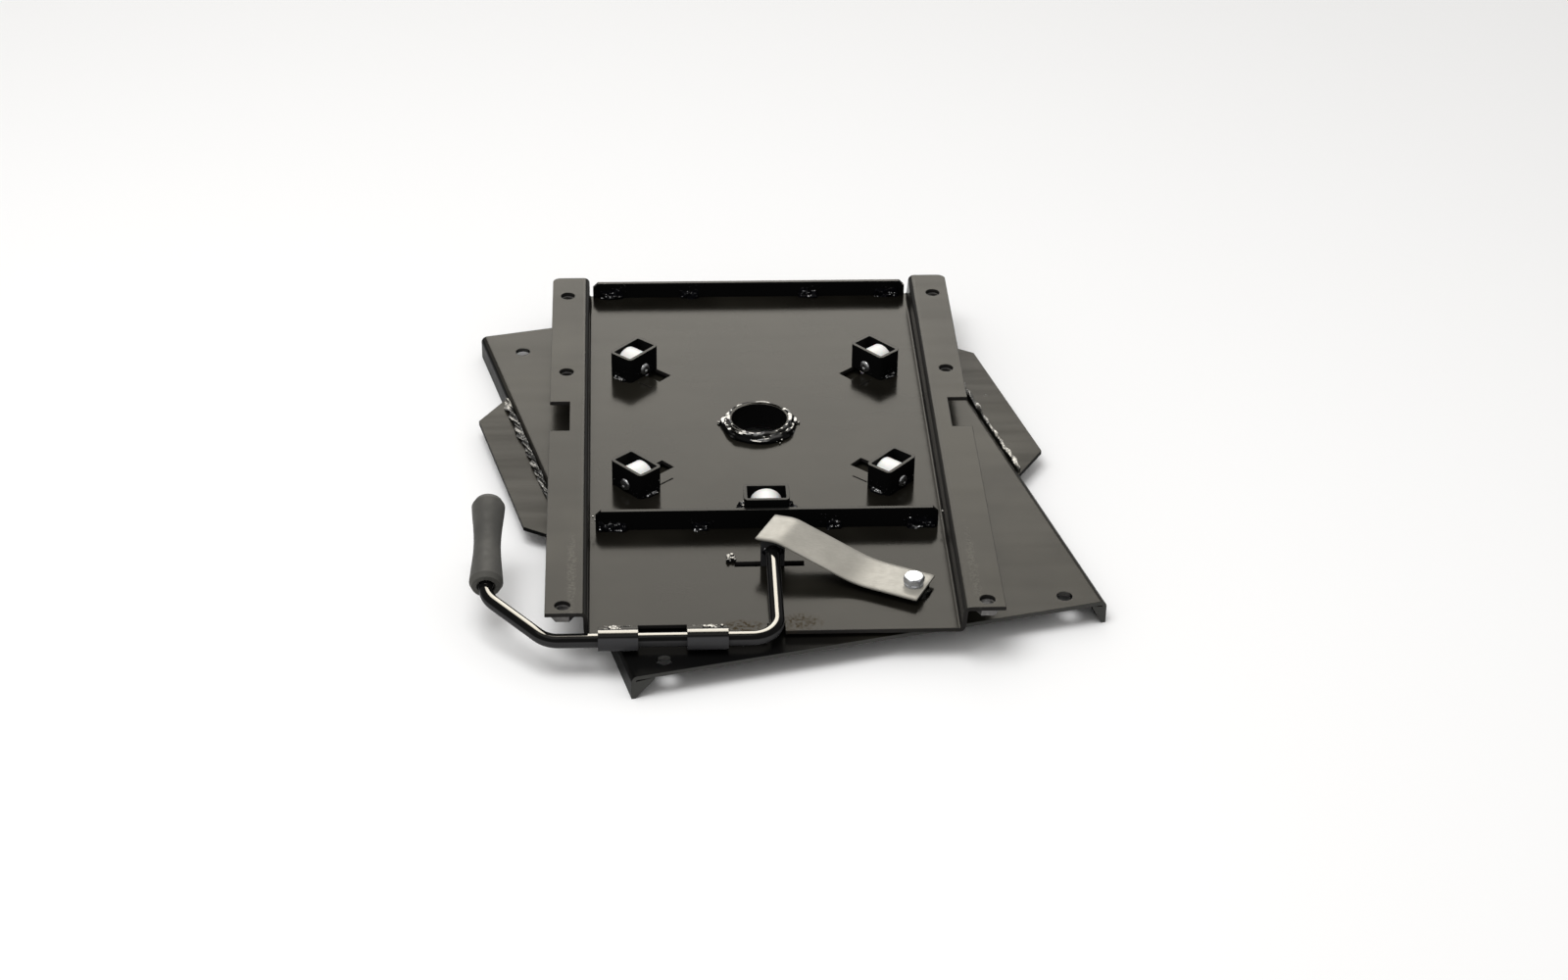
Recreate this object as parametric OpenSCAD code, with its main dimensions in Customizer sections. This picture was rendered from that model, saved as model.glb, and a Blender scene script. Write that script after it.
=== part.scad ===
// Swivel seat base adapter: a tray with two seat rails that turns on a welded hub
// over a base plate, carried by five rollers and held by a sprung latch lever.
// The origin is on the swivel axis at the top of the tray floor, +Z up, front at -Y.

/* [Sheet] */
// Thickness of the folded sheet of tray and base
sheet_t = 3; // [2.5:0.25:4]
// Inner radius of every fold
bend_r = 1.5; // [1:0.5:2.5]
// Gap between the tray floor and the base plate
plate_gap = 3.3; // [3.1:0.1:3.6]

/* [Tray] */
// Half of the width between the side walls
tray_half_w = 128; // [124:1:131]
// Height of the rail tops above the floor
rail_h = 22; // [18:1:28]
// Reach of the rails beyond the side walls
rail_w = 29; // [26:0.5:34]
// Front edge of the floor
floor_front_y = 271.3; // [266:0.1:276]
// Reach of the rails in front of the floor
rail_front = 7.2; // [5:0.1:10]
// Rear edge of the floor
floor_rear_y = 204; // [192:0.1:208]
// Step from the rear edge of the floor to the rails
rail_rear = 9.5; // [1:0.1:12]
// Radius of the rear corners of the rails
rail_corner_r = 6; // [2:1:10]
// Length of the notch in each rail
notch_l = 42; // [30:1:60]
// Middle of that notch
notch_y = -19.5; // [-30:0.5:-10]
// Depth of that notch
notch_d = 15; // [8:1:18]

/* [Bolt holes] */
// Distance of the rail holes from the side walls
hole_side = 17; // [15:0.5:18]
// Distance of the rear holes from the end of the rails
hole_rear_in = 29.5; // [20:0.5:40]
// Middle holes of the rails
hole_mid_y = 45.5; // [35:0.5:80]
// Distance of the front holes from the end of the rails
hole_front_in = 9.5; // [9:0.5:16]
// Distance between the holes across the base
base_pitch_x = 290; // [280:1:300]
// Diameter of the bolt holes
hole_d = 11; // [9:0.5:12]
// Tapped bore of the weld nuts
nut_bore_d = 8.5; // [7:0.5:8.5]
// Size of a weld nut across its flats
nut_af = 16; // [14:1:18]
// Height of a weld nut
nut_h = 5; // [4:0.5:10]

/* [Cross walls] */
// Height of the front cross wall
cross_front_h = 15.7; // [12:0.1:18]
// Height of the rear cross wall
cross_rear_h = 13; // [11:0.1:18]
// Gap between the ends of the front cross wall and the side walls
cross_end_gap = 5; // [3:0.5:12]
// Gap between the ends of the rear cross wall and the side walls
cross_rear_gap = 2.5; // [2:0.5:12]
// Gap between the front cross wall and the middle roller box
cross_box_gap = 3.25; // [3:0.25:8]
// Chamfer of their top corners
cross_chamfer = 4; // [1:0.5:6]
// Leg of the stitch weld beads
bead_leg = 3.5; // [2:0.5:4]
// Length of the stitch beads near the ends of the cross walls
stitch_outer_l = 21; // [10:1:22]
// Length of the stitch beads between them
stitch_inner_l = 14; // [8:1:22]

/* [Hub] */
// Inner radius of the hub tube
hub_bore_r = 21; // [18:0.5:22]
// Wall of the hub tube
hub_wall = 3; // [2:0.5:4]
// Height of the hub rim above the floor
hub_rim_h = 6.4; // [5.5:0.1:10]
// Leg of the weld bead round the hub
hub_bead = 5; // [3:0.5:5]
// Width of the ring that holds the hub under the base plate
ring_w = 12; // [8:1:16]
// Thickness of that ring
ring_t = 3; // [2:0.5:4]
// Length of tube below that ring
hub_tail = 2; // [1:0.5:4]
// Running clearance between hub tube and base plate
hub_clear = 0.05; // [0.02:0.01:0.1]

/* [Rollers] */
// Radius of the circle on which the rollers stand
roller_ring_r = 125.3; // [122:0.1:127]
// Direction of the corner rollers from the cross axis
corner_turn = 41.8; // [38:0.1:46]
// Diameter of a roller
roller_d = 24; // [22:0.5:25]
// Width of a roller
roller_w = 15.5; // [12:0.5:16]
// Gap under the rollers at rest
roller_gap = 0.3; // [0.2:0.05:0.5]
// Diameter of the roller axles
axle_d = 6; // [5:0.5:8]
// Running clearance of a roller on its axle
axle_clear = 0.05; // [0.02:0.01:0.1]
// Diameter of the axle heads
axle_head_d = 9.5; // [8.5:0.5:11]
// Thickness of the axle heads
axle_head_t = 1.6; // [1:0.2:2.4]
// Wall of the roller boxes
box_wall = 2.5; // [2:0.5:3]
// Height of the roller boxes above the floor
box_h = 20; // [18:0.5:24]
// Free space between a roller and its box, along the circle
box_run = 2; // [1:0.5:4]
// Free space between a roller and its box, on its two flat sides
box_side = 0.5; // [0.3:0.1:1]
// Width of the floor window beside each corner box
window_w = 12.7; // [8:0.1:14]
// Reach of the front windows inwards from the roller circle
window_front_l = 38; // [30:0.5:44]
// Reach of the rear windows inwards from the roller circle
window_rear_l = 25.5; // [22:0.5:40]

/* [Base] */
// Turn of the base under the tray at rest
base_turn = 13.9; // [10:0.1:16]
// Half of the base width
base_half_w = 171.5; // [168:0.5:175]
// Front edge of the base
base_front_y = 281.5; // [279:0.5:290]
// Rear edge of the base
base_rear_y = 197.3; // [190:0.1:205]
// Depth of the base over its flanges
base_depth = 18; // [14:0.5:26]
// Distance of the rear base holes from the rear edge
base_hole_rear_in = 31.3; // [15:0.1:50]
// Distance of the front base holes from the front edge
base_hole_front_in = 13.5; // [12:0.5:24]
// Length of the folded ear at the left front corner
ear_left_l = 15; // [8:1:20]
// Length of the folded ear at the right front corner
ear_right_l = 9; // [8:1:16]
// Reach of the wings beyond the base
wing_w = 27.9; // [20:0.1:36]
// Half length of the wings at the base
wing_inner_y = 104; // [90:1:120]
// Half length of the wings at their outer edge
wing_outer_y = 76.5; // [60:0.5:90]
// Drop of the wing tops below the base top
wing_drop = 3; // [2:0.5:5]

/* [Lever] */
// Diameter of the lever bar
bar_d = 10; // [8:0.5:11]
// Distance of the lever's pivot line in front of the floor
lever_off = 12.7; // [11:0.1:16]
// Height of that line
lever_z = 3.2; // [2.8:0.1:3.8]
// Side of the lever on which the arm goes back
arm_x = 1.6; // [0:0.2:8]
// Bend radius where the arm leaves the pivot line
arm_bend_r = 18; // [12:1:24]
// Rise of the arm in degrees
arm_rise = 5.6; // [4.6:0.1:7]
// Distance of the grip beside the rail
grip_side = 40.9; // [34:0.1:48]
// Rise of the grip in degrees
grip_rise = 12.4; // [10:0.1:16]
// Distance of the grip from the pivot line
grip_start = 51.7; // [48:0.1:60]
// Length of the grip
grip_l = 81; // [70:0.5:100]
// Diameter of the grip ends
grip_d = 24; // [20:0.5:26]
// Diameter of the grip waist
grip_waist_d = 19; // [17:0.5:20]
// Bend radius of the two bends before the grip
grip_bend_r = 20; // [15:1:24]
// Wall of the lever clips
clip_t = 2.4; // [1.5:0.1:2.4]
// Running clearance of the bar in its clips
clip_clear = 0.1; // [0.05:0.01:0.1]
// Length of the left clip
clip_left_l = 27.3; // [20:0.1:29]
// Length of the right clip
clip_right_l = 28.1; // [20:0.1:29]
// Gap between the left clip and the side wall
clip_side = 6.85; // [4:0.05:10]
// Gap between the two clips
clip_space = 33.3; // [28:0.1:36]
// Depth of the floor recess between the clips
clip_recess = 9; // [5:0.5:15]
// Length of the clip tails on the floor
clip_tail = 4.5; // [3:0.5:8]
// Width of the latch blade
blade_w = 17; // [14:0.5:22]
// Thickness of the latch blade
blade_t = 5; // [4:0.5:6]
// Distance of the blade behind the pivot line
blade_reach = 95.5; // [90:0.5:100]
// Top of the blade above the floor
blade_top = 20.6; // [19:0.1:22]
// Length of the slot in the floor for the blade
slot_l = 49; // [40:1:56]
// Free space before and behind the blade
slot_run = 0.6; // [0.5:0.1:1.5]

/* [Spring strap] */
// Width of the strap
strap_w = 34; // [26:1:38]
// Thickness of the strap
strap_t = 2; // [1.5:0.1:2.2]
// Length of the flat end under the bolt
strap_flat = 36; // [30:1:42]
// Reach of the strap past the lever arm
strap_over = 5.3; // [3:0.1:10]
// Length of the tip that bends down
strap_tip_l = 16; // [12:1:20]
// Drop of that tip
strap_tip_drop = 1.8; // [0.5:0.1:3]
// Height of the strap's crest above the blade
strap_gap = 1.9; // [1.6:0.1:3]
// Turn of the strap from the cross axis
strap_turn = 27; // [24:0.5:30]
// Distance of the strap's bolted end from the side wall
strap_side = 21.5; // [18:0.5:30]
// Distance of that end behind the lever's pivot line
strap_back = 53.8; // [48:0.1:60]
// Seat of the strap above the floor
strap_seat = 4.5; // [4:0.1:6]
// Thread diameter of the strap bolt
bolt_d = 8; // [6:1:8]
// Head of that bolt across its flats
bolt_af = 13; // [10:1:13]
// Height of the bolt head
bolt_head_h = 5.3; // [4:0.1:6]
// Distance of the bolt from the end of the strap
bolt_inset = 9; // [9:0.5:14]
// Side of the square boss under the strap
boss_w = 17; // [14:1:20]

/* [Hidden] */
$fn = 64;
fine_fn = 96;
bar_fn = 48;
eps = 0.5;

base_top = -sheet_t - plate_gap;
base_low = base_top - base_depth;
hub_r = hub_bore_r + hub_wall;
ring_gap = 0.3;
ring_top = base_top - sheet_t - ring_gap;
hub_low = ring_top - ring_t - hub_tail;
outer_bend = bend_r + sheet_t;
fold_x = tray_half_w + outer_bend;
rail_out = tray_half_w + rail_w;
rail_front_y = floor_front_y + rail_front;
rail_rear_y = floor_rear_y - rail_rear;
hole_x = tray_half_w + hole_side;
hole_rear_y = rail_rear_y - hole_rear_in;
hole_front_y = rail_front_y - hole_front_in;
base_hole_rear_y = base_rear_y - base_hole_rear_in;
base_hole_front_y = base_front_y - base_hole_front_in;
ear_edge = 1;
wing_bead_in = 4;

roller_turns = [corner_turn, 180 - corner_turn, 180 + corner_turn, -corner_turn, -90];
roller_r = roller_d / 2;
roller_z = base_top + roller_gap + roller_r;
box_in_x = roller_w + 2 * box_side;
box_in_y = roller_d + 2 * box_run;
box_out_x = box_in_x + 2 * box_wall;
box_out_y = box_in_y + 2 * box_wall;
box_inner_r = 1;
box_corner_r = box_wall + box_inner_r;
cross_half_l = tray_half_w - cross_end_gap;
cross_front_y = roller_ring_r + box_out_x / 2 + cross_box_gap + sheet_t;
stitch_outer_in = 12;
stitch_outer_x = cross_half_l - stitch_outer_in;
stitch_inner_x = 48;
box_bead_l = 12;
window_off = 7;
slit_w = 1;
slit_off = 10.5;
slit_in = 27;
slit_out = 14;

bar_r = bar_d / 2;
clip_in_r = bar_r + clip_clear;
clip_out_r = clip_in_r + clip_t;
clip_bead_in = 2.2;
clip_left_x = -tray_half_w + clip_side + clip_left_l / 2;
clip_right_x = clip_left_x + (clip_left_l + clip_right_l) / 2 + clip_space;
lever_y = floor_front_y + lever_off;
lever_gap = 0.3;
arm_end = 1;
arm_l = blade_reach + blade_t / 2 + arm_end;
// The floor is cut back under the arm to where the arm has risen clear of it
arm_recess_y = lever_y - (bar_r / cos(arm_rise) + lever_gap - lever_z) / tan(arm_rise);
arm_recess_side = 1.5;
blade_y = blade_reach - lever_y;
blade_low = base_top + lever_gap;
blade_bead = 2.6;
blade_bead_l = 6;
slot_w = blade_t + 2 * slot_run;
slot_x = -0.5;
base_slot_side = 1.5;
lump_r = 4;
lump_step = 1;
grip_x = rail_out + grip_side;
bar_swing = grip_bend_r * tan(22.5);
grip_end = 8;
grip_depth = grip_l - grip_end;
grip_mouth = 1.5;
grip_mouth_l = 4;
grip_edge_r = 2;
// Share of a full wave in the length of the grip, and the share where it starts
grip_wave = 0.9;
grip_wave_start = 0.05;
bend_lap = 1.5;
bend_thin = 0.02;
// The cranked end turns by half a right angle twice
bar_shoulder = 1.6;
grip_turn_s = grip_start - bar_swing - bar_shoulder;
diag_x0 = grip_x - grip_turn_s;
diag_len = grip_turn_s / sin(45) - 2 * bar_swing;

strap_x = tray_half_w - strap_side;
strap_y = lever_y - strap_back;
strap_l = (strap_x - arm_x) / cos(strap_turn) + strap_over;
strap_rise = blade_top + strap_gap - strap_seat;
strap_ease = 0.3;
bolt_tip = 1;
bolt_floor_gap = 0.5;
bolt_strap_gap = 0.2;
boss_bead_in = 1;
bolt_x = strap_x - bolt_inset * cos(strap_turn);
bolt_y = -strap_y + bolt_inset * sin(strap_turn);

// Points of an arc about c from angle a0 to a1
function arc(c, r, a0, a1, n = 6) =
    [for (i = [0:n]) c + r * [cos(a0 + (a1 - a0) * i / n), sin(a0 + (a1 - a0) * i / n)]];

// Right half of the tray section up to the folds of the rails, inner face then outer face
function tray_half() = concat(
    arc([tray_half_w - bend_r, bend_r], bend_r, -90, 0),
    arc([fold_x, rail_h - outer_bend], outer_bend, 180, 90),
    arc([fold_x, rail_h - outer_bend], bend_r, 90, 180),
    arc([tray_half_w - bend_r, bend_r], outer_bend, 0, -90)
);

// Right half of the base section, upper face outwards and lower face back
function base_half() = concat(
    arc([base_half_w - outer_bend, base_top - outer_bend], outer_bend, 90, 0),
    [[base_half_w, base_low], [base_half_w - sheet_t, base_low]],
    arc([base_half_w - outer_bend, base_top - outer_bend], bend_r, 0, 90)
);

function mirrored(points) =
    concat(points, [for (i = [len(points) - 1:-1:0]) [-points[i][0], points[i][1]]]);

// Extrudes an X and Z outline along Y, from the front y0 back to y1
module along_y(y0, y1) {
    translate([0, y1, 0]) rotate([90, 0, 0]) linear_extrude(height = y1 - y0) children();
}

// Extrudes a Y and Z outline along X, from x0 to x1
module along_x(x0, x1) {
    translate([x0, 0, 0]) rotate([90, 0, 90]) linear_extrude(height = x1 - x0) children();
}

module rounded_rect(w, l, r) {
    square([w - 2 * r, l], center = true);
    square([w, l - 2 * r], center = true);
    for (sx = [-1, 1], sy = [-1, 1]) translate([sx * (w / 2 - r), sy * (l / 2 - r)]) circle(r);
}

// Section of a weld bead with its corner at the origin
module bead_section(leg) {
    polygon(concat([[0, 0]], arc([0, 0], leg, 0, 90, 6)));
}

// Straight bead along X in the corner between a floor at z0 and a wall behind it at y
module bead_x(x, y, z0, len, leg) {
    translate([x - len / 2, y, z0]) rotate([90, 0, 90]) linear_extrude(height = len)
        mirror([1, 0]) bead_section(leg);
}

module at_roller(i) {
    rotate([0, 0, roller_turns[i]]) translate([roller_ring_r, 0, 0]) children();
}

module at_base() {
    rotate([0, 0, base_turn]) children();
}

// Base plate with side flanges, front ears, four bolt holes and the latch slot
module base_plate() {
    color([0.13, 0.13, 0.13]) at_base() difference() {
        union() {
            along_y(-base_front_y, base_rear_y) polygon(mirrored(base_half()));
            base_ear(-1, ear_left_l);
            base_ear(1, ear_right_l);
        }
        for (sx = [-1, 1], y = [base_hole_rear_y, -base_hole_front_y])
            translate([sx * base_pitch_x / 2, y, base_top - sheet_t - eps])
                cylinder(d = hole_d, h = sheet_t + 2 * eps);
        translate([0, 0, base_top - sheet_t - eps]) cylinder(r = hub_r + hub_clear, h = sheet_t + 2 * eps);
        translate([arm_x, blade_y, base_top - sheet_t / 2])
            cube([blade_w + 2 * base_slot_side, slot_w, sheet_t + 2 * eps], center = true);
    }
}

// Three-cornered ear folded in from the end of a side flange
module base_ear(side, l) {
    along_y(-base_front_y, sheet_t - base_front_y)
        polygon([
            [side * (base_half_w - bend_r), base_top - outer_bend],
            [side * (base_half_w - bend_r - l), base_top - sheet_t],
            [side * (base_half_w - bend_r - l), base_top - sheet_t - ear_edge],
            [side * (base_half_w - sheet_t), base_low],
            [side * (base_half_w - bend_r), base_low]
        ]);
}

module wing(side) {
    translate([0, 0, base_top - wing_drop - sheet_t]) linear_extrude(height = sheet_t) polygon([
        [side * base_half_w, -wing_inner_y], [side * (base_half_w + wing_w), -wing_outer_y],
        [side * (base_half_w + wing_w), wing_outer_y], [side * base_half_w, wing_inner_y]
    ]);
}

module wing_left() {
    color([0.2, 0.2, 0.19]) at_base() wing(-1);
}

module wing_right() {
    color([0.2, 0.2, 0.19]) at_base() wing(1);
}

// Beads along the joints between the wings and the base flanges
module wing_welds() {
    weld_l = 2 * (wing_inner_y - wing_bead_in);
    color([0.45, 0.44, 0.42]) at_base() for (side = [-1, 1])
        translate([side * base_half_w, weld_l / 2, base_top - wing_drop]) rotate([90, 0, 0])
            linear_extrude(height = weld_l) scale([side, 1]) bead_section(wing_drop);
}

// Folded tray: floor and side walls up to the folds, where the rails join on
module tray() {
    color([0.42, 0.41, 0.38]) difference() {
        along_y(-rail_front_y, floor_rear_y) polygon(mirrored(tray_half()));
        tray_end_cuts();
        tray_floor_cuts();
    }
}

// Sloped ends of the side walls, and the recesses for the clips and the lever arm
module tray_end_cuts() {
    along_x(-fold_x - eps, fold_x + eps) polygon([
        [-rail_front_y - eps, -sheet_t - eps], [-floor_front_y, -sheet_t - eps], [-floor_front_y, 0],
        [-rail_front_y, rail_h - sheet_t], [-rail_front_y - eps, rail_h - sheet_t]
    ]);
    along_x(-fold_x - eps, fold_x + eps) polygon([
        [floor_rear_y, 0], [rail_rear_y, rail_h - sheet_t], [rail_rear_y, rail_h + eps],
        [floor_rear_y + eps, rail_h + eps], [floor_rear_y + eps, 0]
    ]);
    floor_recess(clip_left_x + clip_left_l / 2, clip_right_x - clip_right_l / 2, floor_front_y - clip_recess);
    floor_recess(arm_x - bar_r - arm_recess_side, arm_x + bar_r + lever_gap, arm_recess_y);
}

// Recess in the front edge of the floor from x0 to x1, back to y_back in front of the axis
module floor_recess(x0, x1, y_back) {
    translate([x0, -rail_front_y, -sheet_t - eps]) cube([x1 - x0, rail_front_y - y_back, sheet_t + 2 * eps]);
}

// Outward rail with three bolt holes and a notch, from the fold to its edge
module rail(side) {
    color([0.42, 0.41, 0.38]) translate([0, 0, rail_h - sheet_t]) linear_extrude(height = sheet_t)
        difference() {
            rail_outline(side);
            for (y = [hole_rear_y, hole_mid_y, -hole_front_y])
                translate([side * hole_x, y]) circle(d = hole_d);
            translate([side * rail_out, notch_y]) square([2 * notch_d, notch_l], center = true);
        }
}

module rail_outline(side) {
    corner = [rail_out - rail_corner_r, rail_rear_y - rail_corner_r];
    scale([side, 1]) polygon(concat(
        [[fold_x, -rail_front_y], [rail_out, -rail_front_y]],
        arc(corner, rail_corner_r, 0, 90, 8),
        [[fold_x, rail_rear_y]]
    ));
}

module tray_floor_cuts() {
    cut_z = -sheet_t - eps;
    cut_h = sheet_t + 2 * eps;
    translate([0, 0, cut_z]) cylinder(r = hub_r, h = cut_h);
    translate([slot_x, blade_y, cut_z + cut_h / 2]) cube([slot_l, slot_w, cut_h], center = true);
    translate([bolt_x, bolt_y, cut_z]) cylinder(d = bolt_d + 2 * bolt_floor_gap, h = cut_h);
    for (i = [0:4]) at_roller(i) translate([0, 0, cut_z + cut_h / 2])
        cube([box_in_x, box_in_y, cut_h], center = true);
    for (i = [0:3]) {
        len = i < 2 ? window_rear_l : window_front_l;
        hand = (i == 0 || i == 3) ? 1 : -1;
        at_roller(i) translate([-len / 2, hand * window_off, cut_z + cut_h / 2])
            cube([len, window_w, cut_h], center = true);
        at_roller(i) translate([-(slit_in + slit_out) / 2, -hand * slit_off, cut_z + cut_h / 2])
            cube([slit_in - slit_out, slit_w, cut_h], center = true);
    }
}

// Upright cross wall with chamfered top corners, its rear face at y_back
module cross_wall(y_back, half_l, h) {
    along_y(y_back - sheet_t, y_back) polygon([
        [-half_l, 0], [half_l, 0], [half_l, h - cross_chamfer], [half_l - cross_chamfer, h],
        [-half_l + cross_chamfer, h], [-half_l, h - cross_chamfer]
    ]);
}

module cross_wall_front() {
    color([0.1, 0.1, 0.1]) cross_wall(-cross_front_y + sheet_t, cross_half_l, cross_front_h);
}

module cross_wall_rear() {
    color([0.1, 0.1, 0.1]) cross_wall(floor_rear_y, tray_half_w - cross_rear_gap, cross_rear_h);
}

// Stitch beads along the front feet of both cross walls
module wall_welds() {
    rear_y = floor_rear_y - sheet_t;
    color([0.3, 0.3, 0.3]) for (side = [-1, 1]) {
        for (y = [-cross_front_y, rear_y]) {
            bead_x(side * stitch_outer_x, y, 0, stitch_outer_l, bead_leg);
            bead_x(side * stitch_inner_x, y, 0, stitch_inner_l, bead_leg);
        }
    }
}

module hub_tube() {
    color([0.12, 0.12, 0.12]) translate([0, 0, hub_low]) difference() {
        cylinder(r = hub_r, h = hub_rim_h - hub_low, $fn = fine_fn);
        translate([0, 0, -eps]) cylinder(r = hub_bore_r, h = hub_rim_h - hub_low + 2 * eps, $fn = fine_fn);
    }
}

module hub_weld() {
    color([0.3, 0.3, 0.3]) rotate_extrude($fn = fine_fn)
        polygon(concat([[hub_r, 0]], arc([hub_r, 0], hub_bead, 0, 90, 6)));
}

// Ring welded to the tube under the base plate, which keeps the tray from lifting
module hub_ring() {
    color([0.12, 0.12, 0.12]) translate([0, 0, ring_top - ring_t]) difference() {
        cylinder(r = hub_r + ring_w, h = ring_t, $fn = fine_fn);
        translate([0, 0, -eps]) cylinder(r = hub_r, h = ring_t + 2 * eps, $fn = fine_fn);
    }
}

// Open box of rounded rectangular tube that stands over its floor opening
module roller_box(i) {
    color([0.1, 0.1, 0.1]) at_roller(i) difference() {
        linear_extrude(height = box_h) difference() {
            rounded_rect(box_out_x, box_out_y, box_corner_r);
            rounded_rect(box_in_x, box_in_y, box_inner_r);
        }
        translate([0, 0, roller_z]) rotate([0, 90, 0])
            cylinder(d = axle_d, h = box_out_x + 2 * eps, center = true);
    }
}

// Riveted axle with a head on each side of its box
module roller_axle(i) {
    color([0.6, 0.6, 0.6]) at_roller(i) translate([0, 0, roller_z]) rotate([0, 90, 0]) {
        cylinder(d = axle_d, h = box_out_x, center = true);
        for (side = [-1, 1]) translate([0, 0, side * (box_out_x + axle_head_t) / 2])
            cylinder(d = axle_head_d, h = axle_head_t, center = true);
    }
}

module roller(i) {
    color([0.93, 0.93, 0.92]) at_roller(i) translate([0, 0, roller_z]) rotate([0, 90, 0])
        difference() {
            cylinder(r = roller_r, h = roller_w, center = true, $fn = fine_fn);
            cylinder(d = axle_d + 2 * axle_clear, h = roller_w + 2 * eps, center = true);
        }
}

// Beads at the feet of the five boxes, on their two narrow ends
module box_welds() {
    color([0.45, 0.45, 0.44]) for (i = [0:4]) at_roller(i) for (side = [-1, 1])
        translate([-box_bead_l / 2, side * box_out_y / 2, 0]) rotate([90, 0, 90])
            linear_extrude(height = box_bead_l) scale([side, 1]) bead_section(bead_leg);
}

// Tapped nuts welded under the rail holes
module weld_nuts() {
    color([0.35, 0.34, 0.32]) for (side = [-1, 1], y = [hole_rear_y, hole_mid_y, -hole_front_y])
        translate([side * hole_x, y, rail_h - sheet_t - nut_h]) difference() {
            cylinder(d = nut_af / cos(30), h = nut_h, $fn = 6);
            translate([0, 0, -eps]) cylinder(d = nut_bore_d, h = nut_h + 2 * eps);
        }
}

// Strip folded round the lever bar, with a tail on the floor edge
module clip(x, l) {
    tail_back = floor_front_y - clip_tail;
    color([0.16, 0.16, 0.16]) along_x(x - l / 2, x + l / 2) difference() {
        union() {
            translate([-lever_y, lever_z]) circle(clip_out_r);
            translate([-lever_y, 0]) square([lever_y - tail_back, clip_t]);
        }
        translate([-lever_y, lever_z]) circle(clip_in_r);
        translate([-lever_y + bar_r, -sheet_t - eps]) square([clip_out_r, sheet_t + eps]);
    }
}

module clip_left() {
    clip(clip_left_x, clip_left_l);
}

module clip_right() {
    clip(clip_right_x, clip_right_l);
}

// Beads on the floor behind the two clip tails
module clip_welds() {
    color([0.4, 0.39, 0.36]) for (c = [[clip_left_x, clip_left_l], [clip_right_x, clip_right_l]])
        translate([c[0] - c[1] / 2 + clip_bead_in, clip_tail - floor_front_y, 0]) rotate([90, 0, 90])
            linear_extrude(height = c[1] - 2 * clip_bead_in) bead_section(clip_t);
}

// Bend of the bar in the X and Y plane, centred on the origin. It is a hair thinner
// than the bar and runs a little way into the straight lengths at both ends.
module bend(r, turn) {
    rotate([0, 0, -bend_lap]) rotate_extrude(angle = turn + 2 * bend_lap)
        translate([r, 0]) circle(bar_r - bend_thin, $fn = bar_fn);
}

module rod(len) {
    rotate([0, 90, 0]) cylinder(r = bar_r, h = len, $fn = bar_fn);
}

// Lever bar: pivot line, arm to the latch blade, and a cranked end inside the grip
module lever_bar() {
    first_x = diag_x0 - bar_swing;
    half_swing = bar_swing * cos(45);
    color([0.08, 0.08, 0.08]) translate([0, -lever_y, lever_z]) {
        translate([-first_x, 0, 0]) rod(first_x + arm_x - arm_bend_r);
        rotate([arm_rise, 0, 0]) {
            translate([arm_x - arm_bend_r, arm_bend_r, 0]) rotate([0, 0, -90]) bend(arm_bend_r, 90);
            translate([arm_x, arm_bend_r, 0]) rotate([0, 0, 90]) rod(arm_l - arm_bend_r);
        }
        rotate([grip_rise, 0, 0]) {
            translate([-first_x, grip_bend_r, 0]) rotate([0, 0, 225]) bend(grip_bend_r, 45);
            translate([-diag_x0 - half_swing, half_swing, 0]) rotate([0, 0, 135]) rod(diag_len);
            translate([-grip_x + grip_bend_r, grip_turn_s + bar_swing, 0]) rotate([0, 0, 180])
                bend(grip_bend_r, 45);
            translate([-grip_x, grip_turn_s + bar_swing, 0]) rotate([0, 0, 90])
                rod(grip_start + grip_depth - grip_turn_s - bar_swing);
        }
    }
}

// Waisted hand grip pushed over the bar end
module lever_grip() {
    color([0.3, 0.3, 0.28]) translate([0, -lever_y, lever_z]) rotate([grip_rise, 0, 0])
        translate([-grip_x, grip_start, 0]) rotate([-90, 0, 0]) difference() {
            rotate_extrude($fn = fine_fn) polygon(concat(
                [[0, 0]], [for (i = [0:20]) [grip_radius(i / 20), grip_l * i / 20]], [[0, grip_l]]
            ));
            translate([0, 0, -eps]) cylinder(r = bar_r + grip_mouth, h = grip_mouth_l + eps);
            translate([0, 0, -eps]) cylinder(r = bar_r, h = grip_depth + eps, $fn = bar_fn);
        }
}

// Radius of the grip at the share u of its length
function grip_radius(u) =
    let (
        wave = (1 + cos(360 * (u * grip_wave + grip_wave_start))) / 2,
        edge = min(u, 1 - u) * grip_l,
        inset = max(grip_edge_r - edge, 0),
        round_off = grip_edge_r - sqrt(pow(grip_edge_r, 2) - pow(inset, 2))
    )
    grip_waist_d / 2 + (grip_d - grip_waist_d) / 2 * wave - round_off;

// Upright plate across the arm end, which drops through the floor slot
module latch_blade() {
    color([0.1, 0.1, 0.1]) difference() {
        translate([arm_x - blade_w / 2, blade_y - blade_t / 2, blade_low])
            cube([blade_w, blade_t, blade_top - blade_low]);
        translate([arm_x, -lever_y, lever_z]) rotate([arm_rise, 0, 0]) rotate([-90, 0, 0])
            cylinder(r = bar_r, h = 2 * blade_reach, $fn = bar_fn);
    }
}

// Beads on both sides of the arm in front of the blade
module blade_welds() {
    arm_z = lever_z + (blade_reach - blade_t / 2) * tan(arm_rise);
    color([0.3, 0.3, 0.3]) for (side = [-1, 1])
        translate([arm_x + side * bar_r, blade_y - blade_t / 2, arm_z - blade_bead_l / 2])
            rotate([0, 0, side > 0 ? -90 : 180]) linear_extrude(height = blade_bead_l) bead_section(blade_bead);
}

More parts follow.
